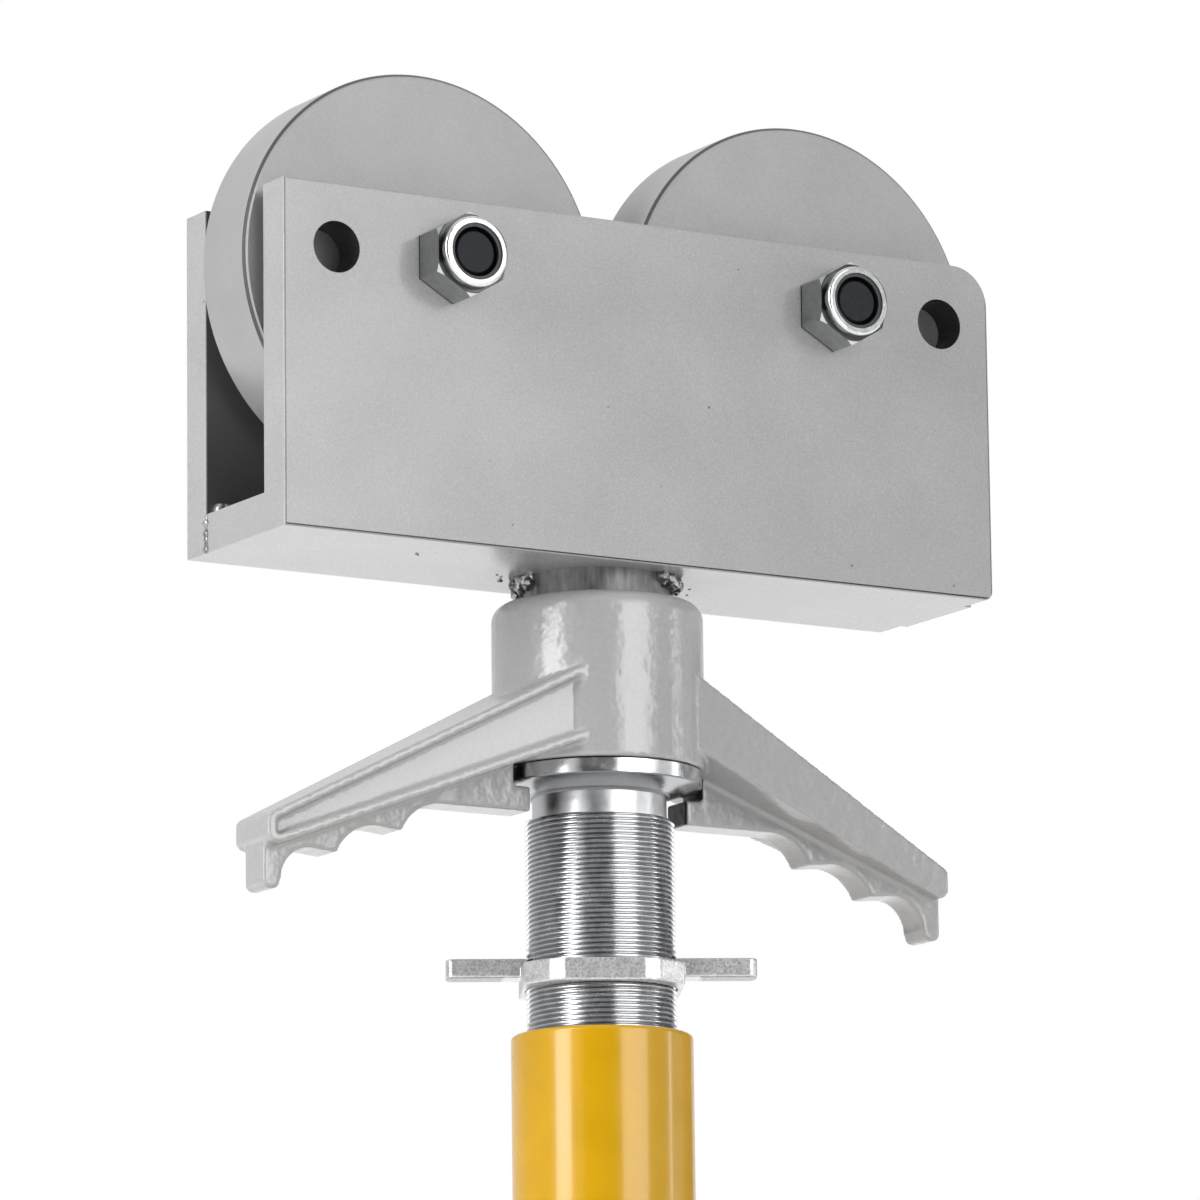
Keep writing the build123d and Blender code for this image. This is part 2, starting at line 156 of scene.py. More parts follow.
def linear(hex_colour):
    """Turn an sRGB hex colour into the linear colour that shaders use."""
    channels = [int(hex_colour[i:i + 2], 16) / 255 for i in (1, 3, 5)]
    return [c / 12.92 if c <= 0.04045 else ((c + 0.055) / 1.055) ** 2.4 for c in channels] + [1.0]


def centre(box):
    """Return the middle of a node's box."""
    return [(low + high) / 2 for low, high in zip(box[0], box[1])]


def length(name, description, default):
    """Return a length property, shown in millimetres or metres by the scene's units."""
    return FloatProperty(name=name, description=description, default=default, min=0.0,
                         subtype="DISTANCE", unit="LENGTH", precision=5)


def colour(name, description, hex_colour):
    """Return a colour property with a hex default."""
    return FloatVectorProperty(name=name, description=description, default=linear(hex_colour),
                               size=4, min=0.0, max=1.0, subtype="COLOR")


class RollerSizes(PropertyGroup):
    """Sizes of the details that the solids leave out."""

    pitch: length("Thread pitch", "Rise of the jack screw's thread in one turn", 0.0015875)
    crest_radius: length("Thread radius", "Radius of the jack screw over its thread", 0.024)
    depth: length("Thread depth", "Depth of the jack screw's thread", 0.00092)
    thread_top: length("Thread top", "Height where the jack screw's thread runs out", 0.3085)
    relief_radius: length("Relief radius", "Radius of the groove above the thread", 0.0215)
    relief_top: length("Relief top", "Height where the collar's cone starts", 0.3166)
    collar_bottom: length("Collar bottom", "Height of the collar's lower edge", 0.3196)
    collar_radius: length("Collar radius", "Radius of the collar under the hub", 0.033)
    collar_top: length("Collar top", "Height of the collar's upper face", 0.3248)
    spigot_radius: length("Spigot radius", "Radius of the screw inside the hub", 0.022)
    stem_bore: length("Stem bore", "Radius of the bore that the stem turns in", 0.01705)
    shoulder: length("Bore shoulder", "Height where the screw's bore widens", 0.2965)
    bore: length("Screw bore", "Radius of the screw's lower bore", 0.0195)
    turn_sides: IntProperty(name="Turned sides", description="Sides of the turned screw",
                            default=96, min=24, max=256)
    cast_voxel: length("Casting voxel", "Size of the handle casting's smallest detail", 0.00072)
    ring_voxel: length("Ring voxel", "Size of the lock ring's smallest detail", 0.0005)
    cast_smoothing: IntProperty(name="Casting smoothing",
                                description="How far the handle casting's corners are rounded",
                                default=2, min=0, max=30)
    ring_turn: FloatProperty(name="Ring turn",
                             description="How far the lock ring is turned, in degrees",
                             default=-28.0)
    web_start: length("Web start", "From the post's axis to the finger web's inner end", 0.029)
    web_seat: length("Web seat", "From the post's axis to the notch that clears the collar", 0.036)
    web_half: length("Web half width", "Half the finger web's thickness", 0.00615)
    web_drop: length("Web drop", "From the hub's bottom to the finger web's bottom", 0.0153)
    web_step: length("Web step", "From the hub's bottom to the step under the collar", 0.0074)
    ring_facet: length("Ring facet", "From the post's axis to the boss's cut corners", 0.02985)
    bead_step: length("Ripple spacing", "Distance between the ripples of a weld", 0.0024)
    neck_radius: length("Neck radius", "Radius of the stem's neck", 0.0235)
    neck_bead: length("Neck weld", "Size of the largest lump in the neck's weld", 0.0027)
    neck_voxel: length("Neck weld voxel", "Size of the neck weld's smallest detail", 0.00023)
    nut_collar: length("Nut collar", "Height of the lock nuts' round collars", 0.0034)
    spare_inset: length("Spare hole inset", "From the frame's ends to the spare holes", 0.019)
    spare_radius: length("Spare hole radius", "Radius of the spare axle holes", 0.00825)


class RollerColours(PropertyGroup):
    """Colours of the finishes."""

    paint: colour("Silver enamel", "Silver-grey enamel on the plates and welds", "#B4B4B4")
    # Painted shade: a dark grey on the plates' inner faces, where the channel is shaded
    inside: colour("Channel inside", "Painted shade inside the channel", "#5C5C5C")
    # Painted shade: a near black on the spare holes' walls and on the casting's faces beside the
    # collar
    hole: colour("Painted pocket shade", "Walls of the spare holes and the casting by the collar", "#2A2A2A")
    # The neck's grey is partly painted shade: darker than the plates' enamel to stand in for the
    # shade under the base plate
    neck: colour("Neck", "Scorched enamel on the neck, partly painted shade", "#8C8C8C")
    wheel: colour("Wheels", "Painted wheels", "#ACACAC")
    yellow: colour("Post", "Powder coat on the post tube", "#D6A300")
    steel: colour("Turned steel", "Bare turned steel of the jack screw and its fittings", "#C9CACC")
    zinc: colour("Zinc plate", "Plated nuts and washers", "#C6C8C8")
    galvanised: colour("Galvanised", "Galvanised lock ring", "#CDCDCD")
    casting: colour("Casting enamel", "Silver-grey enamel on the handle", "#B8B8B8")
    black: colour("Black oxide", "Blackened bolts", "#1E1F22")
    nylon: colour("Nylon", "Locking inserts in the nuts", "#15181C")
    bronze: colour("Bronze", "Wheel bushes", "#8E6F38")
    floor: colour("Floor", "Pale studio floor", "#EDEDED")


def select_only(made):
    """Make one object the only selected and active one."""
    bpy.ops.object.select_all(action="DESELECT")
    made.select_set(True)
    bpy.context.view_layer.objects.active = made


def place_in_mesh(made):
    """Move an object's place into its mesh, so that the object sits at the origin."""
    select_only(made)
    bpy.ops.object.transform_apply(location=True, rotation=True, scale=True)


def named(made, name):
    """Name an object and its mesh."""
    made.name = name
    made.data.name = name
    return made


def turned(name, profile, sides):
    """Turn a closed profile of (radius, height) points about the post's axis, as on a lathe."""
    radius, height = profile[0]
    bpy.ops.object.select_all(action="DESELECT")
    bpy.ops.mesh.primitive_circle_add(vertices=sides, radius=radius, location=(0, 0, height))
    made = bpy.context.object
    place_in_mesh(made)
    bpy.ops.object.mode_set(mode="EDIT")
    bpy.ops.mesh.select_all(action="SELECT")
    for next_radius, next_height in profile[1:] + profile[:1]:
        rise = (0, 0, next_height - height)
        bpy.ops.mesh.extrude_edges_move(TRANSFORM_OT_translate={"value": rise})
        scale = next_radius / radius
        bpy.ops.transform.resize(value=(scale, scale, 1), center_override=(0, 0, next_height))
        radius, height = next_radius, next_height
    bpy.ops.mesh.select_all(action="SELECT")
    bpy.ops.mesh.remove_doubles(threshold=MERGE)
    bpy.ops.mesh.normals_make_consistent(inside=False)
    bpy.ops.object.mode_set(mode="OBJECT")
    return named(made, name)


def drawn(name, points):
    """Draw a line of edges through points, starting from one vertex."""
    bpy.ops.object.select_all(action="DESELECT")
    bpy.ops.mesh.primitive_plane_add(size=0.001, location=points[0])
    made = bpy.context.object
    place_in_mesh(made)
    bpy.ops.object.mode_set(mode="EDIT")
    bpy.ops.mesh.select_all(action="SELECT")
    bpy.ops.mesh.merge(type="CENTER")
    for start, end in zip(points, points[1:]):
        move = tuple(b - a for a, b in zip(start, end))
        bpy.ops.mesh.extrude_vertices_move(TRANSFORM_OT_translate={"value": move})
    bpy.ops.object.mode_set(mode="OBJECT")
    return named(made, name)


def joined(name, pieces):
    """Join pieces into one object, and leave it selected."""
    bpy.ops.object.select_all(action="DESELECT")
    for piece in pieces:
        piece.select_set(True)
    bpy.context.view_layer.objects.active = pieces[0]
    if len(pieces) > 1:
        bpy.ops.object.join()
    return named(bpy.context.object, name)


def applied(made, kind, **settings):
    """Add a modifier with its settings, and apply it."""
    select_only(made)
    modifier = made.modifiers.new(kind.lower(), kind)
    for name, value in settings.items():
        setattr(modifier, name, value)
    bpy.ops.object.modifier_apply(modifier=modifier.name)


def smooth(made, degrees):
    """Shade smooth, and keep edges sharper than the angle."""
    select_only(made)
    bpy.ops.object.shade_smooth_by_angle(angle=math.radians(degrees))


def finish(made, body, material, replaced):
    """Give a piece its material and its body, and hide the node that it stands for."""
    made.data.materials.clear()
    made.data.materials.append(bpy.data.materials[material])
    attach(made, body)
    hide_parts(replaced)


def dress(material, *nodes):
    """Give frame nodes a material."""
    for name in nodes:
        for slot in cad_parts[name].material_slots:
            slot.material = material


def add_node(tree, kind, inputs=None, **settings):
    """Add a shader node with its settings, set or link its inputs, and return its outputs."""
    made = tree.nodes.new("ShaderNode" + kind)
    for name, value in settings.items():
        setattr(made, name, value)
    for name, value in (inputs or {}).items():
        if isinstance(value, bpy.types.NodeSocket):
            tree.links.new(value, made.inputs[name])
        else:
            made.inputs[name].default_value = value
    return made.outputs


def new_surface(name):
    """Start a material, and return it with the function that adds nodes to it."""
    material = bpy.data.materials.new(name)
    material.use_nodes = True
    material.node_tree.nodes.clear()
    return material, partial(add_node, material.node_tree)


def mottled(add, at, millimetres, *ranges, **inputs):
    """Mottle a surface with lumps of about a size, and return the pattern and, for each range,
    the value that it gives between the range's ends."""
    pattern = add("TexNoise", {"Vector": at, "Scale": MM / millimetres} | inputs)["Fac"]
    values = [add("MapRange", MIDDLE | {"Value": pattern, "To Min": low, "To Max": high})["Result"]
              for low, high in ranges]
    return pattern, *values


def flattened(add, at, plane):
    """Flatten a place onto a plane through the origin, and return it and how far out it is."""
    flat = add("VectorMath", {0: at, 1: plane}, operation="MULTIPLY")[0]
    return flat, add("VectorMath", {0: flat}, operation="LENGTH")["Value"]


def seamed(add, level, along, dark, lines):
    """Drop a level to a dark one on thin lines, given as (middle, half width) along a measure."""
    for middle, half in lines:
        line = add("Math", {0: along, 1: middle, 2: half}, operation="COMPARE")[0]
        clean = add("MapRange", {"Value": line, "To Min": 1.0, "To Max": dark})["Result"]
        level = add("Math", {0: level, 1: clean}, operation="MULTIPLY")[0]
    return level


def shade(add, tone, levels, bumps, inputs):
    """End a material: darken or lighten its colour by each level, chain its bumps, given as
    (height, millimetres deep, strength), and shade it."""
    for level in levels:
        tone = add("HueSaturation", {"Color": tone, "Value": level})["Color"]
    surface = {"Base Color": tone} | inputs
    below = {}
    for height, millimetres, strength in bumps:
        bump = {"Height": height, "Distance": millimetres / MM, "Strength": strength} | below
        below = {"Normal": add("Bump", bump)["Normal"]}
    shader = add("BsdfPrincipled", surface | below)
    add("OutputMaterial", {"Surface": shader["BSDF"]})


def powder_coat(colours):
    """Powder-coated steel tube: baked gloss with a faint orange peel, so its highlights are broad
    and soft."""
    material, add = new_surface("powder_coated_steel")
    at = add("TexCoord")["Object"]
    _, tint, gloss = mottled(add, at, 14, (1.05, 1.12), (0.18, 0.24))
    peel = add("TexNoise", {"Vector": at, "Scale": MM / 1.6, "Detail": 1.0})["Fac"]
    shade(add, colours.yellow, [tint], [(peel, 0.03, 0.4)],
          {"Roughness": gloss, "IOR": 1.44, "Coat Weight": 0.25, "Coat Roughness": 0.06})
    return material


# The spare holes' walls get painted shade
def within_holes(add, at, sizes):
    """Return 1 on the walls of the spare holes, and 0 elsewhere."""
    hole = (FRONT[1][0] - sizes.spare_inset, 0, centre(BOLT)[2])
    wall = sizes.spare_radius + 0.6 * HAIR
    mirrored = add("VectorMath", {0: at}, operation="ABSOLUTE")[0]
    offset = add("VectorMath", {0: mirrored, 1: hole}, operation="SUBTRACT")[0]
    _, reach = flattened(add, offset, (1, 0, 1))
    return add("Math", {0: reach, 1: wall}, operation="LESS_THAN")[0]


def within_channel(add, at):
    """Return 1 on the plates' inner faces, and 0 on every outer face."""
    x, y, z = add("SeparateXYZ", {0: at})
    along = add("Math", {0: x}, operation="ABSOLUTE")[0]
    across = add("Math", {0: y}, operation="ABSOLUTE")[0]
    clear = add("Math", {0: along, 1: BASE[1][0] - EDGE}, operation="LESS_THAN")[0]
    inner = add("Math", {0: across, 1: BASE[1][1] + HAIR}, operation="LESS_THAN")[0]
    above = add("Math", {0: z, 1: BASE[1][2] - HAIR}, operation="GREATER_THAN")[0]
    faces = add("Math", {0: inner, 1: above}, operation="MULTIPLY")[0]
    return add("Math", {0: faces, 1: clear}, operation="MULTIPLY")[0]


def painted_edge_shade(add, at):
    """Return a level that drops on thin lines of painted shade on the plates' outer faces, along
    the bottom and, more faintly, at the ends."""
    x, y, z = add("SeparateXYZ", {0: at})
    along = add("Math", {0: x}, operation="ABSOLUTE")[0]
    across = add("Math", {0: y}, operation="ABSOLUTE")[0]
    outer = add("Math", {0: across, 1: -FRONT[0][1] - 0.5 * HAIR}, operation="GREATER_THAN")[0]
    # Painted shade: dark lines along the plates' outer edges
    inset, half = PLATE_END_SHADE
    ends = add("Math", {0: along, 1: FRONT[1][0] - inset, 2: half}, operation="COMPARE")[0]
    inset, half = PLATE_FOOT_SHADE
    foot = add("Math", {0: z, 1: FRONT[0][2] + inset, 2: half}, operation="COMPARE")[0]
    faint = 0.6
    lines = add("Math", {0: ends, 1: faint, 2: foot}, operation="MULTIPLY_ADD")[0]
    dirt = add("Math", {0: lines, 1: outer}, operation="MULTIPLY")[0]
    return add("MapRange", {"Value": dirt, "To Min": 1.0, "To Max": 0.04})["Result"]


def plate_paint(colours, sizes):
    """Silver enamel sprayed on hot-rolled plate: a satin grey with flake, dust nibs and soft
    clouds, and painted shade inside the channel, in the spare holes and on thin lines at the edges."""
    material, add = new_surface("silver_enamel_on_plate")
    at = add("TexCoord")["Object"]
    # Real flake is finer than 0.1 mm, and is drawn at 0.7 mm so that it shows
    flake, flaked, gloss = mottled(add, at, 0.7, (0.9, 1.1), (0.2, 0.28), Detail=3.0,
                                   Roughness=0.7)
    _, clouded = mottled(add, at, 32, (0.94, 1.04), Detail=4.0)
    pits = add("TexNoise", {"Vector": at, "Scale": MM / 3.2, "Detail": 4.0,
                            "Roughness": 0.6})["Fac"]
    nibs = add("TexVoronoi", {"Vector": at, "Scale": MM / 13})["Distance"]
    specked = add("MapRange", {"Value": nibs, "From Min": 0.02, "From Max": 0.045,
                               "To Min": 0.35, "To Max": 1.0})["Result"]
    tone = colours.paint
    for level in (flaked, clouded, specked):
        tone = add("HueSaturation", {"Color": tone, "Value": level})["Color"]
    # Painted shade: the channel's inner faces and the spare holes' walls take dark greys in place
    # of their shade
    for mask, bare in ((within_channel(add, at), colours.inside),
                       (within_holes(add, at, sizes), colours.hole)):
        tone = add("Mix", {0: mask, 6: tone, 7: bare}, data_type="RGBA")[2]
    shade(add, tone, [painted_edge_shade(add, at)], [(pits, 0.08, 0.3), (flake, 0.03, 0.4)],
          {"Metallic": 0.05, "IOR": 1.5, "Roughness": gloss})
    return material


def beside_collar(add, at):
    """Return 1 on the casting's faces that look at the screw from close by, and 0 elsewhere."""
    flat, reach = flattened(add, at, (1, 1, 0))
    facing = add("TexCoord")["Normal"]
    outward = add("VectorMath", {0: flat, 1: facing}, operation="DOT_PRODUCT")["Value"]
    inward = add("Math", {0: outward, 1: POCKET_SHADE_INWARD}, operation="LESS_THAN")[0]
    near = add("Math", {0: reach, 1: POCKET_SHADE_REACH}, operation="LESS_THAN")[0]
    return add("Math", {0: inward, 1: near}, operation="MULTIPLY")[0]


def casting_paint(colours):
    """Silver enamel on a sand casting: a glossy grey over a pebbled skin, with painted shade on the
    faces beside the collar."""
    material, add = new_surface("silver_enamel_on_sand_casting")
    at = add("TexCoord")["Object"]
    # Moulding sand is about 0.3 mm, and is drawn at 1.4 mm so that it shows
    sand, tint, gloss = mottled(add, at, 1.4, (0.97, 1.03), (0.18, 0.26), Detail=1.0)
    dents = add("TexNoise", {"Vector": at, "Scale": MM / 6.0})["Fac"]
    pits = add("TexNoise", {"Vector": at, "Scale": MM / 2.6})["Fac"]
    tone = add("HueSaturation", {"Color": colours.casting, "Value": tint})["Color"]
    # Painted shade: the faces beside the collar take a near black where shade falls
    tone = add("Mix", {0: beside_collar(add, at), 6: tone, 7: colours.hole},
               data_type="RGBA")[2]
    shade(add, tone, [], [(dents, 0.45, 0.85), (pits, 0.16, 0.6), (sand, 0.08, 0.4)],
          {"Metallic": 0.06, "IOR": 1.46, "Roughness": gloss})
    return material


def galvanised_casting(colours):
    """Hot-dip galvanised casting: pale spangled metal that glints on its faces, with painted shade
    under its ears."""
    material, add = new_surface("galvanised_casting")
    at = add("TexCoord")["Object"]
    spangle, tint = mottled(add, at, 2.2, (0.8, 1.1), Detail=3.0, Roughness=0.65)
    # Moulding sand is about 0.3 mm, and is drawn at 0.9 mm so that it shows
    sand, gloss = mottled(add, at, 0.9, (0.2, 0.38))
    # Painted shade: the ears' downward faces are darkened, and the boss is left as it is
    down = add("SeparateXYZ", {0: add("NewGeometry")["Normal"]})["Z"]
    _, reach = flattened(add, at, (1, 1, 0))
    under = add("MapRange", {"Value": down, "From Min": -0.9, "From Max": -0.4,
                             "To Min": 0.36, "To Max": 1.0})["Result"]
    boss = add("MapRange", {"Value": reach, "From Min": BOSS_END, "From Max": EAR_START,
                            "To Min": 1.0, "To Max": 0.0})["Result"]
    ear_shade = add("Math", {0: under, 1: boss}, operation="MAXIMUM")[0]
    shade(add, colours.galvanised, [tint, ear_shade], [(spangle, 0.16, 0.5), (sand, 0.06, 0.5)],
          {"Metallic": 0.5, "Roughness": gloss})
    return material


def wheel_paint(colours, name, box):
    """Silver enamel on a turned wheel: satin grey that lets the tool's faint rings through, with
    painted shade on a thin line at the chamfers."""
    material, add = new_surface(name)
    at = add("TexCoord")["Object"]
    centred = add("Mapping", {"Vector": at, "Location": [-v for v in centre(box)]})["Vector"]
    # Real tool marks are a few tenths of a millimetre apart, and are drawn coarse so that they
    # show: 0.9 mm to a radian of the wave
    rings = add("TexWave", {"Vector": centred, "Scale": MM / (0.9 * WAVE), "Distortion": 0.4,
                            "Detail": 1.0}, wave_type="RINGS", rings_direction="Y")["Fac"]
    # Flake drawn coarse too, at 0.8 mm
    flake, flaked, gloss = mottled(add, at, 0.8, (0.85, 1.0), (0.32, 0.44), Detail=3.0,
                                   Roughness=0.7)
    _, clouded = mottled(add, at, 22, (0.95, 1.04), Detail=3.0)
    _, reach = flattened(add, centred, (1, 0, 1))
    # Painted shade: a dark thin line at the rim's chamfer
    inset, half = WHEEL_RIM_SHADE
    rim = (box[1][0] - box[0][0]) / 2
    rim_shade = seamed(add, 1.0, reach, 0.2, [(rim - inset, half)])
    shade(add, colours.wheel, [flaked, clouded, rim_shade], [(rings, 0.03, 0.35), (flake, 0.04, 0.5)],
          {"Metallic": 0.12, "IOR": 1.5, "Roughness": gloss})
    return material


def painted_screw_shade(add, at, sizes):
    """Return a level of painted shade on the screw, in the thread's roots, under the cone and in
    the seam below the hub, darker on thin lines at the cone's two edges, and a mask that is 1 in
    the relief groove."""
    _, reach = flattened(add, at, (1, 1, 0))
    root = sizes.crest_radius - sizes.depth
    # Painted shade in the thread's roots, where shade falls between the flanks
    root_shade = add("MapRange", {"Value": reach, "From Min": root + 0.5 * HAIR,
                              "From Max": root + EDGE + 0.5 * HAIR,
                              "To Min": 0.52, "To Max": 1.0})["Result"]
    necked = add("Math", {0: reach, 1: root - 3 * HAIR}, operation="LESS_THAN")[0]
    level = add("Math", {0: root_shade, 1: necked}, operation="MAXIMUM")[0]
    down = add("SeparateXYZ", {0: add("NewGeometry")["Normal"]})["Z"]
    height = add("SeparateXYZ", {0: at})["Z"]
    # Painted shade under the downward-facing cone and in the seam below the hub
    cone = add("MapRange", {"Value": down, "From Min": -0.97, "From Max": -0.9,
                            "To Min": 0.45, "To Max": 1.0})["Result"]
    seam = add("MapRange", {"Value": height, "From Min": sizes.collar_top - 7 * HAIR,
                            "From Max": sizes.collar_top - EDGE,
                            "To Min": 1.0, "To Max": 0.1})["Result"]
    for shaded in (cone, seam):
        level = add("Math", {0: level, 1: shaded}, operation="MULTIPLY")[0]
    level = seamed(add, level, height, 0.28,
                   [(sizes.relief_top - CONE_FOOT_LINE[0], CONE_FOOT_LINE[1]),
                    (sizes.collar_bottom + CONE_TOP_LINE[0], CONE_TOP_LINE[1])])
    return level, necked


def turned_steel(colours, sizes):
    """Turned steel: bright metal with the tool's fine rings around the post's axis, and painted
    shade in the roots and under the cone."""
    material, add = new_surface("turned_steel")
    at = add("TexCoord")["Object"]
    # Real tool marks are a few tenths of a millimetre apart, and are drawn coarse so that they
    # show: 0.5 mm to a radian of the wave
    lines = add("TexWave", {"Vector": at, "Scale": MM / (0.5 * WAVE), "Distortion": 1.2,
                            "Detail": 2.0}, wave_type="BANDS", bands_direction="Z")["Fac"]
    _, tint, gloss = mottled(add, at, 4.0, (0.92, 1.04), (0.16, 0.28), Detail=3.0)
    level, necked = painted_screw_shade(add, at, sizes)
    rough = add("Math", {0: necked, 1: 0.14, 2: gloss}, operation="MULTIPLY_ADD")[0]
    shade(add, colours.steel, [tint, level], [(lines, 0.02, 0.6)],
          {"Metallic": 1.0, "Roughness": rough})
    return material


def zinc_plate(colours, sizes):
    """Zinc-plated steel: bright, slightly milky metal, with painted shade on all but the nuts'
    collars, and on thin lines at their seams."""
    material, add = new_surface("zinc_plated_steel")
    at = add("TexCoord")["Object"]
    cloud, tint, gloss = mottled(add, at, 2.6, (0.86, 1.04), (0.1, 0.2), Detail=3.0)
    depth = add("SeparateXYZ", {0: at})["Y"]
    joint = NUTS[0][1] + sizes.nut_collar
    # Painted shade: everything behind the collars is a little darker, and the seams are dark lines
    shaded_hex = add("MapRange", {"Value": depth, "From Min": joint - HAIR, "From Max": joint + HAIR,
                               "To Min": 1.0, "To Max": 0.82})["Result"]
    level = seamed(add, shaded_hex, depth, 0.15,
                   [(joint, NUT_SEAM_SHADE), (FRONT[0][1] - NUT_SEAM_SHADE, NUT_SEAM_SHADE)])
    shade(add, colours.zinc, [tint, level], [(cloud, 0.03, 0.4)],
          {"Metallic": 1.0, "Roughness": gloss})
    return material


def black_oxide(colours):
    """Black-oxide steel: a dark matte skin with a faint metal sheen."""
    material, add = new_surface("black_oxide_steel")
    at = add("TexCoord")["Object"]
    cloud, tint, gloss = mottled(add, at, 1.8, (0.8, 1.3), (0.38, 0.55), Detail=3.0)
    shade(add, colours.black, [tint], [(cloud, 0.04, 0.4)], {"Metallic": 0.8, "Roughness": gloss})
    return material


def moulded_nylon(colours):
    """Moulded nylon: a dark plastic with a soft, slightly uneven gloss."""
    material, add = new_surface("moulded_nylon")
    at = add("TexCoord")["Object"]
    cloud, tint, gloss = mottled(add, at, 1.5, (0.85, 1.2), (0.35, 0.5))
    shade(add, colours.nylon, [tint], [(cloud, 0.03, 0.4)], {"IOR": 1.53, "Roughness": gloss})
    return material


def machined_bronze(colours):
    """Machined bronze: warm metal with fine darker grain."""
    material, add = new_surface("machined_bronze")
    at = add("TexCoord")["Object"]
    grain, tint, gloss = mottled(add, at, 0.9, (0.85, 1.1), (0.3, 0.45), Detail=3.0)
    shade(add, colours.bronze, [tint], [(grain, 0.02, 0.3)], {"Metallic": 1.0, "Roughness": gloss})
    return material


def scorched_and_shaded_neck(colours):
    """Enamel scorched by welding, with dark streaks that run up from the hub, and its grey set
    darker than the plates' as painted shade under the base plate.
    """
    material, add = new_surface("scorched_and_shaded_enamel_on_neck")
    at = add("TexCoord")["Object"]
    stretched = add("Mapping", {"Vector": at, "Scale": (1.0, 1.0, 0.16)})["Vector"]
    streaks, streaked = mottled(add, stretched, 2.4, (0.45, 1.15), Detail=3.0, Roughness=0.6)
    soot, smoked, gloss = mottled(add, at, 5.0, (0.7, 1.1), (0.3, 0.5), Detail=3.0)
    shade(add, colours.neck, [streaked, smoked], [(streaks, 0.1, 0.4), (soot, 0.2, 0.3)],
          {"Metallic": 0.2, "IOR": 1.5, "Roughness": gloss})
    return material


def painted_weld(colours):
    """Weld metal under silver enamel: grey, with painted shade in its rougher hollows."""
    material, add = new_surface("painted_weld_metal")
    at = add("TexCoord")["Object"]
    # Painted shade: the noise that sinks the hollows also darkens them
    weld_hollows, tint, gloss = mottled(add, at, 2.2, (0.12, 1.1), (0.5, 0.14), Detail=4.0,
                                Roughness=0.65)
    shade(add, colours.paint, [tint], [(weld_hollows, 0.25, 0.7)], {"Metallic": 0.6, "Roughness": gloss})
    return material


def paper_floor(colours):
    """Pale paper floor: matte, white in glossy paint and far away, and open from below for a low
    camera."""
    material, add = new_surface("pale_paper_floor")
    at = add("TexCoord")["Object"]
    _, tint = mottled(add, at, 6.0, (0.995, 1.005))
    pale = add("HueSaturation", {"Color": colours.floor, "Value": tint})["Color"]
    paper = add("BsdfPrincipled", {"Base Color": pale, "Roughness": 0.9})["BSDF"]
    white = add("Emission", {"Strength": 1.65})["Emission"]
    rays = add("LightPath")
    near = add("MixShader", {0: rays["Is Glossy Ray"], 1: paper, 2: white})["Shader"]
    reach = add("VectorMath", {0: at}, operation="LENGTH")["Value"]
    distant = add("MapRange", {"Value": reach, "From Min": 0.5, "From Max": 1.7})["Result"]
    faded = add("Math", {0: distant, 1: rays["Is Camera Ray"]}, operation="MULTIPLY")[0]
    backdrop = add("Emission", {"Strength": 1.0})["Emission"]
    upper = add("MixShader", {0: faded, 1: near, 2: backdrop})["Shader"]
    side = add("NewGeometry")["Backfacing"]
    opening = add("BsdfTransparent")["BSDF"]
    mixed = add("MixShader", {0: side, 1: upper, 2: opening})["Shader"]
    add("OutputMaterial", {"Surface": mixed})
    return material


def card_glow(name, strength):
    """Plain studio card that only reflections see: dark cards draw dark bands in bright metal."""
    material, add = new_surface(name)
    glow = add("Emission", {"Strength": strength})["Emission"]
    add("OutputMaterial", {"Surface": glow})
    return material


class ROLLER_OT_jack_screw(Operator):
    """Turn the jack screw with its full helical thread"""

    bl_idname = "roller.jack_screw"
    bl_label = "Jack Screw"

    def execute(self, context):
        sizes = context.scene.roller_sizes
        bottom, top = SCREW[0][2], SCREW[1][2]
        crest, relief, collar = sizes.crest_radius, sizes.relief_radius, sizes.collar_radius
        root = crest - sizes.depth
        core = turned("threaded_jack_screw", [
            (sizes.bore, bottom), (root - LEAD, bottom), (root - HAIR, bottom + LEAD),
            (root - HAIR, sizes.thread_top - 5 * HAIR), (relief, sizes.thread_top - 2 * HAIR),
            (relief, sizes.relief_top - 6 * HAIR), (relief + EDGE, sizes.relief_top),
            (collar - EDGE, sizes.collar_bottom - HAIR), (collar, sizes.collar_bottom + 3 * HAIR),
            (collar, sizes.collar_top - EDGE), (collar - EDGE, sizes.collar_top),
            (sizes.spigot_radius, sizes.collar_top), (sizes.spigot_radius, top),
            (sizes.stem_bore, top), (sizes.stem_bore, sizes.shoulder), (sizes.bore, sizes.shoulder),
        ], sizes.turn_sides)
        pitch = sizes.pitch
        low = bottom - pitch
        thread = drawn("thread_flank", [
            (root, 0, low), (root, 0, low + pitch * ROOT_END),
            (crest, 0, low + pitch * CREST_START), (crest, 0, low + pitch * CREST_END),
            (root, 0, low + pitch),
        ])
        applied(thread, "SCREW", axis="Z", angle=math.tau, screw_offset=pitch,
                iterations=math.ceil((sizes.thread_top - bottom) / pitch) + 2,
                steps=sizes.turn_sides, render_steps=sizes.turn_sides,
                use_merge_vertices=True, merge_threshold=MERGE)
        bpy.ops.object.mode_set(mode="EDIT")
        bpy.ops.mesh.select_all(action="SELECT")
        bpy.ops.mesh.remove_doubles(threshold=5 * MERGE)
        for height, clear_above in ((sizes.thread_top, True), (bottom + LEAD, False)):
            bpy.ops.mesh.select_all(action="SELECT")
            bpy.ops.mesh.bisect(plane_co=(0, 0, height), plane_no=(0, 0, 1), use_fill=True,
                                clear_outer=clear_above, clear_inner=not clear_above)
        bpy.ops.mesh.select_all(action="SELECT")
        bpy.ops.mesh.normals_make_consistent(inside=False)
        bpy.ops.object.mode_set(mode="OBJECT")
        screw = joined("threaded_jack_screw", [core, thread])
        smooth(screw, degrees=24)
        finish(screw, "screw", "turned_steel", "jack_screw")
        return {"FINISHED"}


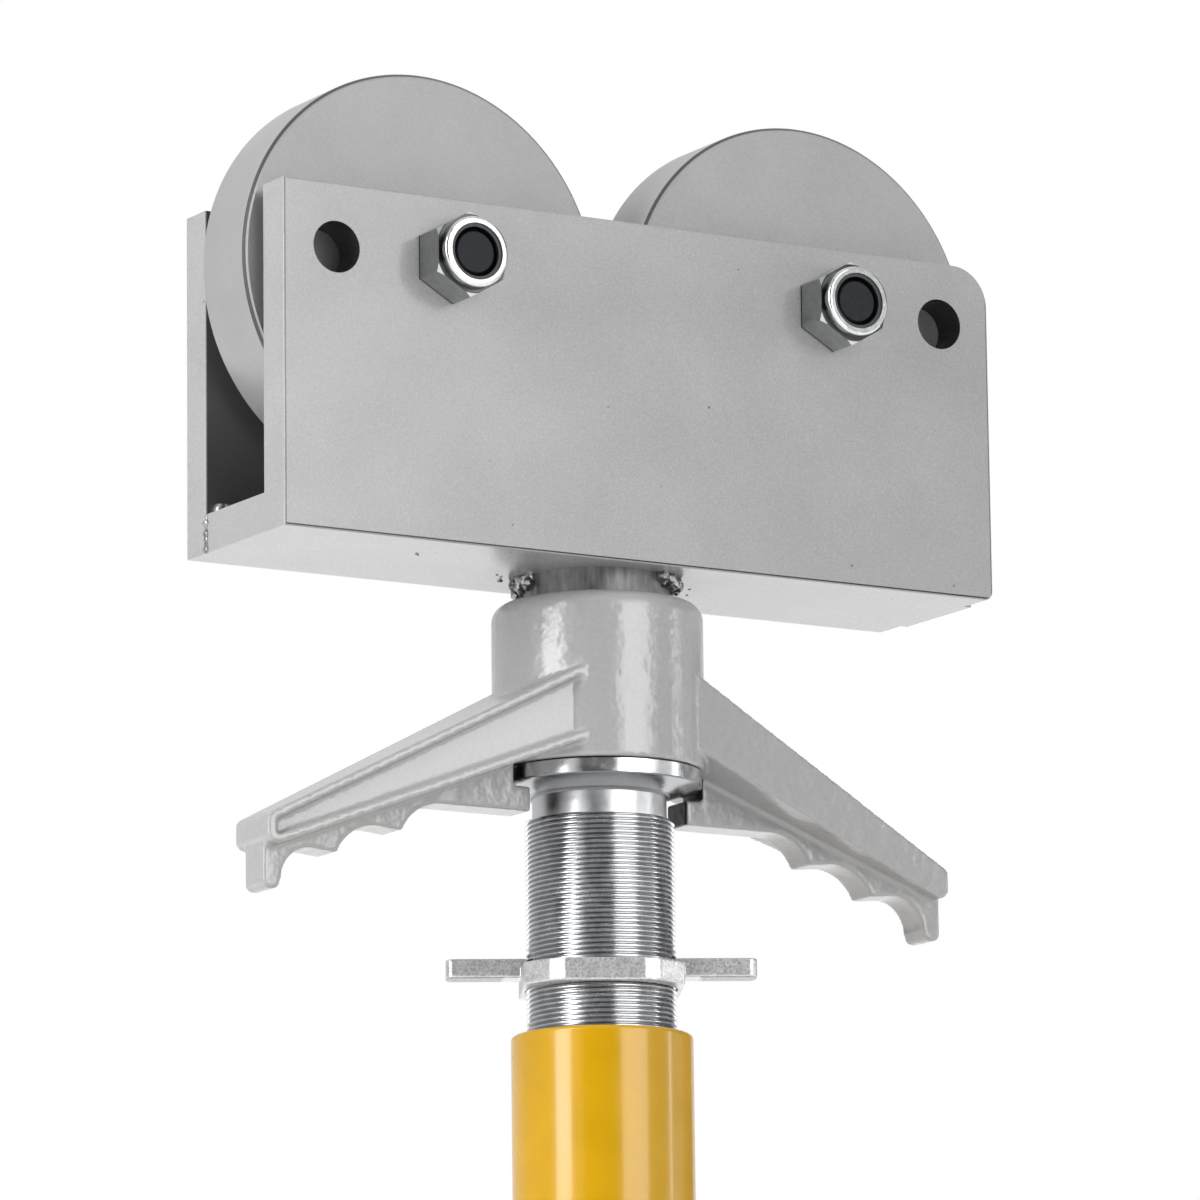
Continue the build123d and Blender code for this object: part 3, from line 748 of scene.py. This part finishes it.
def cast_copy(node_name, name, voxel, smoothing, keep, cuts=(), pads=()):
    """Copy a casting's solid, cut it by planes, add pads, soften it so that corners and joins get a
    cast radius, and keep a share of its faces."""
    made = bpy.data.objects.new(name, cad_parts[node_name].data.copy())
    bpy.context.scene.collection.objects.link(made)
    select_only(made)
    if cuts:
        bpy.ops.object.mode_set(mode="EDIT")
        bpy.ops.mesh.select_all(action="SELECT")
        bpy.ops.mesh.remove_doubles(threshold=MERGE)
        for point, outward in cuts:
            bpy.ops.mesh.select_all(action="SELECT")
            bpy.ops.mesh.bisect(plane_co=point, plane_no=outward, use_fill=True, clear_outer=True)
        bpy.ops.object.mode_set(mode="OBJECT")
    pieces = [made]
    for low, high in pads:
        bpy.ops.mesh.primitive_cube_add(size=1, location=centre((low, high)))
        pad = bpy.context.object
        pad.scale = [b - a for a, b in zip(low, high)]
        place_in_mesh(pad)
        pieces.append(pad)
    made = joined(name, pieces)
    applied(made, "REMESH", mode="VOXEL", voxel_size=voxel)
    applied(made, "SMOOTH", factor=0.5, iterations=smoothing)
    applied(made, "DECIMATE", ratio=keep)
    bpy.ops.object.shade_smooth()
    return made


class ROLLER_OT_handle(Operator):
    """Cast the two-arm handle with soft corners and a pebbled skin"""

    bl_idname = "roller.handle"
    bl_label = "Handle Casting"

    def execute(self, context):
        sizes = context.scene.roller_sizes
        bottom = sizes.collar_top
        pads = []
        for side in (-1, 1):
            left, right = sorted((side * sizes.web_start, side * sizes.web_seat))
            pads.append(((left, -sizes.web_half, bottom - sizes.web_drop),
                         (right, sizes.web_half, bottom - sizes.web_step)))
        handle = cast_copy("handle_casting", "cast_handle", sizes.cast_voxel,
                           sizes.cast_smoothing, keep=0.35, pads=pads)
        finish(handle, "screw", "silver_enamel_on_sand_casting", "handle_casting")
        return {"FINISHED"}


class ROLLER_OT_lock_ring(Operator):
    """Cast the two-eared lock ring with soft corners"""

    bl_idname = "roller.lock_ring"
    bl_label = "Lock Ring"

    def execute(self, context):
        sizes = context.scene.roller_sizes
        middle = Vector(centre(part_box("lock_ring")))
        cuts = []
        for face in (0, 180):
            for corner in (-BOSS_CORNER, BOSS_CORNER):
                angle = math.radians(sizes.ring_turn - 90 + face + corner)
                outward = Vector((math.cos(angle), math.sin(angle), 0))
                cuts.append((middle + outward * sizes.ring_facet, outward))
        ring = cast_copy("lock_ring", "cast_lock_ring", sizes.ring_voxel, 1, keep=0.6, cuts=cuts)
        finish(ring, "ring", "galvanised_casting", "lock_ring")
        return {"FINISHED"}


def ripple(at, turn, size):
    """Add one weld ripple: a flattened drop."""
    bpy.ops.object.select_all(action="DESELECT")
    bpy.ops.mesh.primitive_uv_sphere_add(segments=14, ring_count=8, radius=1.0, location=at,
                                         rotation=(0, 0, turn), scale=size)
    made = bpy.context.object
    place_in_mesh(made)
    return made


def channel_drops(sizes):
    """Lay the ripples in the channel's two corners and up the rear seam at its ends. Sines of a
    drop's number make the drops uneven, and the same on every run."""
    start, end = WELDS[0][0], WELDS[1][0]
    side, under, top = BASE[1][1], BASE[0][2], BASE[1][2]
    drops = []
    for sign in (-1, 1):
        at = (start + RUN_MARGIN, sign * (side - RIPPLE_SINK), top + RIPPLE_SINK)
        row = ripple(at, 0, RIPPLE)
        applied(row, "ARRAY", use_relative_offset=False, use_constant_offset=True,
                constant_offset_displace=(sizes.bead_step, 0, 0),
                count=int((end - start - 2 * RUN_MARGIN) / sizes.bead_step))
        drops.append(row)
    long, wide, tall = SEAM_DROP
    for x in (FRONT[0][0], FRONT[1][0]):
        for index in range(SEAM_DROPS):
            swell = 0.8 + 0.35 * math.sin(index * 2.6 + x * 40)
            y = side + 0.0006 * math.sin(index * 3.1)
            at = (x, y, under + SEAM_FOOT + index * SEAM_STEP)
            drops.append(ripple(at, 0, (long * swell, wide * swell, tall)))
    return drops


def neck_drops(sizes):
    """Lay the uneven drops around the neck, and the spatter beside them."""
    under = BASE[0][2]
    drops = []
    for start in NECK_RUNS:
        for index in range(NECK_RUN_DROPS):
            angle = math.radians(start + NECK_RUN_INSET
                                 + index * NECK_RUN_REACH / (NECK_RUN_DROPS - 1))
            swell = 0.78 + 0.32 * math.sin(index * 2.3 + start) * math.sin(index * 0.9 + 1)
            reach = sizes.neck_radius + NECK_DROP_GAP + 0.0011 * math.sin(index * 1.7 + start)
            sink = sizes.neck_bead * (0.72 + 0.34 * math.sin(index * 2.9 + 0.4 * start))
            at = (reach * math.cos(angle), reach * math.sin(angle), under - sink)
            size = sizes.neck_bead * swell
            drops.append(ripple(at, angle, (size * 1.05, size * 0.85, size)))
    for x, y, size in SPATTER:
        drops.append(ripple((x, y, under), 0, (size, size, size * 0.6)))
    return drops


class ROLLER_OT_welds(Operator):
    """Lay the rippled weld beads of the channel and the neck"""

    bl_idname = "roller.welds"
    bl_label = "Weld Beads"

    def execute(self, context):
        sizes = context.scene.roller_sizes
        channel = joined("channel_weld_beads", channel_drops(sizes))
        smooth(channel, degrees=50)
        finish(channel, "head", "painted_weld_metal", "frame_welds")

        neck = joined("neck_weld_beads", neck_drops(sizes))
        applied(neck, "REMESH", mode="VOXEL", voxel_size=sizes.neck_voxel)
        pits = bpy.data.textures.new("weld_pits", "CLOUDS")
        pits.noise_scale = 0.0016
        pits.noise_depth = 2
        applied(neck, "DISPLACE", texture=pits, texture_coords="LOCAL", strength=0.0009)
        smooth(neck, degrees=60)
        finish(neck, "head", "painted_weld_metal", "stem_weld")
        return {"FINISHED"}


class ROLLER_OT_finishes(Operator):
    """Make every finish, and give the frame's own solids theirs"""

    bl_idname = "roller.finishes"
    bl_label = "Finishes"

    def execute(self, context):
        colours = context.scene.roller_colours
        sizes = context.scene.roller_sizes
        for make in (casting_paint, galvanised_casting, painted_weld):
            make(colours)
        dress(plate_paint(colours, sizes), "base_plate", "front_side_plate", "rear_side_plate")
        dress(powder_coat(colours), "outer_tube")
        dress(turned_steel(colours, sizes), "tube_nut", "handle_pin", "thrust_washer",
              "retaining_ring")
        dress(scorched_and_shaded_neck(colours), "swivel_stem")
        dress(zinc_plate(colours, sizes), "lock_nuts", "head_washers", "spacer_washers")
        dress(black_oxide(colours), "axle_bolt_left", "axle_bolt_right")
        dress(moulded_nylon(colours), "nut_inserts")
        dress(machined_bronze(colours), "wheel_bush_left", "wheel_bush_right")
        for name in ("wheel_left", "wheel_right"):
            dress(wheel_paint(colours, name + "_turned_paint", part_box(name)), name)
        return {"FINISHED"}


def around_post(azimuth, distance, height):
    """Return the place at an azimuth around the post, and the azimuth in radians."""
    angle = math.radians(azimuth)
    return Vector((distance * math.sin(angle), -distance * math.cos(angle), height)), angle


def card(name, azimuth, distance, width, height, middle, strength):
    """Stand a studio card at an azimuth around the post, facing it."""
    at, angle = around_post(azimuth, distance, middle)
    bpy.ops.object.select_all(action="DESELECT")
    bpy.ops.mesh.primitive_plane_add(size=1.0, location=at, rotation=(math.pi / 2, 0, angle))
    made = named(bpy.context.object, name)
    made.scale = (width, height, 1)
    place_in_mesh(made)
    made.data.materials.append(card_glow(name, strength))
    made.visible_camera = False
    made.visible_diffuse = False
    made.visible_shadow = False
    made.visible_transmission = False


def lamp(name, azimuth, distance, height, width, deep, watts, aim):
    """Hang a soft lamp at an azimuth around the post, aimed at a height on it."""
    at, _ = around_post(azimuth, distance, height)
    turn = (Vector((0, 0, aim)) - at).to_track_quat("-Z", "Y").to_euler()
    bpy.ops.object.select_all(action="DESELECT")
    bpy.ops.object.light_add(type="AREA", location=at, rotation=turn)
    made = named(bpy.context.object, name)
    made.data.shape = "RECTANGLE"
    made.data.size = width
    made.data.size_y = deep
    made.data.energy = watts
    made.visible_camera = False


def surround(scene):
    """Make white surroundings: full white to the camera, brighter in reflections than as light."""
    scene.world = bpy.data.worlds.new("white_studio")
    scene.world.use_nodes = True
    scene.world.node_tree.nodes.clear()
    add = partial(add_node, scene.world.node_tree)
    rays = add("LightPath")
    seen = add("Math", {0: rays["Is Camera Ray"], 1: rays["Is Transmission Ray"]},
               operation="MAXIMUM")[0]
    mirrored = add("Math", {0: rays["Is Glossy Ray"], 1: SKY_SHINE, 2: SKY_LIGHT},
                   operation="MULTIPLY_ADD")[0]
    strength = add("Math", {0: seen, 1: mirrored}, operation="MAXIMUM")[0]
    sky = add("Background", {"Color": (1, 1, 1, 1), "Strength": strength})["Background"]
    add("OutputWorld", {"Surface": sky})


class ROLLER_OT_stage(Operator):
    """Set up the pale floor, the soft lamps, the cards and the camera"""

    bl_idname = "roller.stage"
    bl_label = "Stage"

    def execute(self, context):
        scene = context.scene
        bpy.ops.object.select_all(action="DESELECT")
        bpy.ops.mesh.primitive_plane_add(size=FLOOR_SIDE, location=(0, 0, TUBE[0][2] - FLOOR_GAP))
        floor = named(bpy.context.object, "studio_floor")
        place_in_mesh(floor)
        floor.data.materials.append(paper_floor(scene.roller_colours))
        for row in LAMPS:
            lamp(*row)
        for row in CARDS:
            card(*row)
        surround(scene)

        yaw, pitch, roll = map(math.radians, (CAMERA_YAW, CAMERA_PITCH, CAMERA_ROLL))
        look = Vector((math.sin(yaw) * math.cos(pitch), math.cos(yaw) * math.cos(pitch),
                       math.sin(pitch)))
        aim_x, aim_y, drop = CAMERA_AIM
        aim = Vector((aim_x, aim_y, BASE[0][2] + drop))
        turn = (Matrix.Rotation(-yaw, 3, "Z") @ Matrix.Rotation(math.pi / 2 + pitch, 3, "X")
                @ Matrix.Rotation(roll, 3, "Z")).to_euler()
        bpy.ops.object.camera_add(location=aim - look * CAMERA_DISTANCE, rotation=turn)
        camera = named(bpy.context.object, "photo_camera")
        camera.data.sensor_width = CAMERA_SENSOR
        camera.data.lens = CAMERA_LENS
        scene.camera = camera
        scene.view_settings.view_transform = "Standard"
        return {"FINISHED"}


STEPS = (ROLLER_OT_finishes, ROLLER_OT_jack_screw, ROLLER_OT_handle, ROLLER_OT_lock_ring,
         ROLLER_OT_welds, ROLLER_OT_stage)


class ROLLER_PT_panel(Panel):
    """List the sizes, the colours and the pieces in the 3D view's sidebar."""

    bl_idname = "ROLLER_PT_panel"
    bl_label = "Pipe Roller Support"
    bl_space_type = "VIEW_3D"
    bl_region_type = "UI"
    bl_category = "Roller Support"

    def draw(self, context):
        layout = self.layout
        for group in (context.scene.roller_sizes, context.scene.roller_colours):
            box = layout.box()
            for name in group.__annotations__:
                box.prop(group, name)
        for step in STEPS:
            layout.operator(step.bl_idname)


CLASSES = (RollerSizes, RollerColours) + STEPS + (ROLLER_PT_panel,)


def register():
    for cls in CLASSES:
        bpy.utils.register_class(cls)
    bpy.types.Scene.roller_sizes = PointerProperty(type=RollerSizes)
    bpy.types.Scene.roller_colours = PointerProperty(type=RollerColours)


def unregister():
    del bpy.types.Scene.roller_colours
    del bpy.types.Scene.roller_sizes
    for cls in reversed(CLASSES):
        bpy.utils.unregister_class(cls)


def main():
    """Build every piece in order."""
    register()
    bpy.ops.roller.finishes()
    bpy.ops.roller.jack_screw()
    bpy.ops.roller.handle()
    bpy.ops.roller.lock_ring()
    bpy.ops.roller.welds()
    bpy.ops.roller.stage()


if __name__ == "__main__":
    main()
